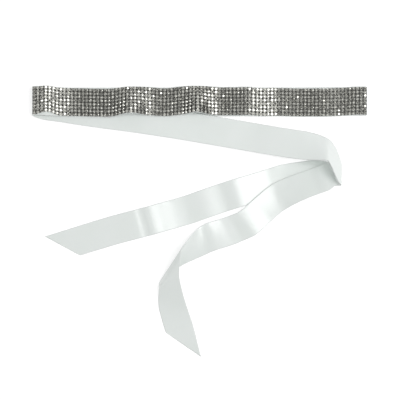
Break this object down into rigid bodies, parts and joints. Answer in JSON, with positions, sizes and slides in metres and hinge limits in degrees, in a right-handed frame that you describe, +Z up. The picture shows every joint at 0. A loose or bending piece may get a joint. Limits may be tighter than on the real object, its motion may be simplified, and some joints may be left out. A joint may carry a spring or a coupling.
{
  "type": "rhinestone sash",
  "caption": "Long satin ribbon sash with a stone-set band sewn along its middle, laid flat: the ribbon folds under behind the band, turns back in a loose loop and ends in slanted tails.",
  "frame": {"origin": "centre of the laid sash's outline, on the surface that it lies on", "axes": "+X to the right along the stone-set band, +Y away from the tails towards the band, +Z up from the surface"},
  "size_m": [0.4417, 0.3577, 0.0374],
  "materials": {
    "satin_ribbon": "double-faced satin",
    "satin_ribbon_hidden": "double-faced satin",
    "rhinestones": "clear faceted stones set in silver-coloured metal cups"
  },
  "bodies": {
    "root": {"stone_band": "rhinestones", "right_fold": "satin_ribbon", "backing_ribbon": "satin_ribbon", "left_fold": "satin_ribbon", "upper_stretch": "satin_ribbon", "outer_loop": "satin_ribbon", "tail_1": "satin_ribbon", "lower_stretch": "satin_ribbon", "inner_loop": "satin_ribbon", "tail_2": "satin_ribbon", "fold_over": "satin_ribbon", "tail_2_end": "satin_ribbon", "hidden_layers": "satin_ribbon_hidden"}
  },
  "joints": []
}
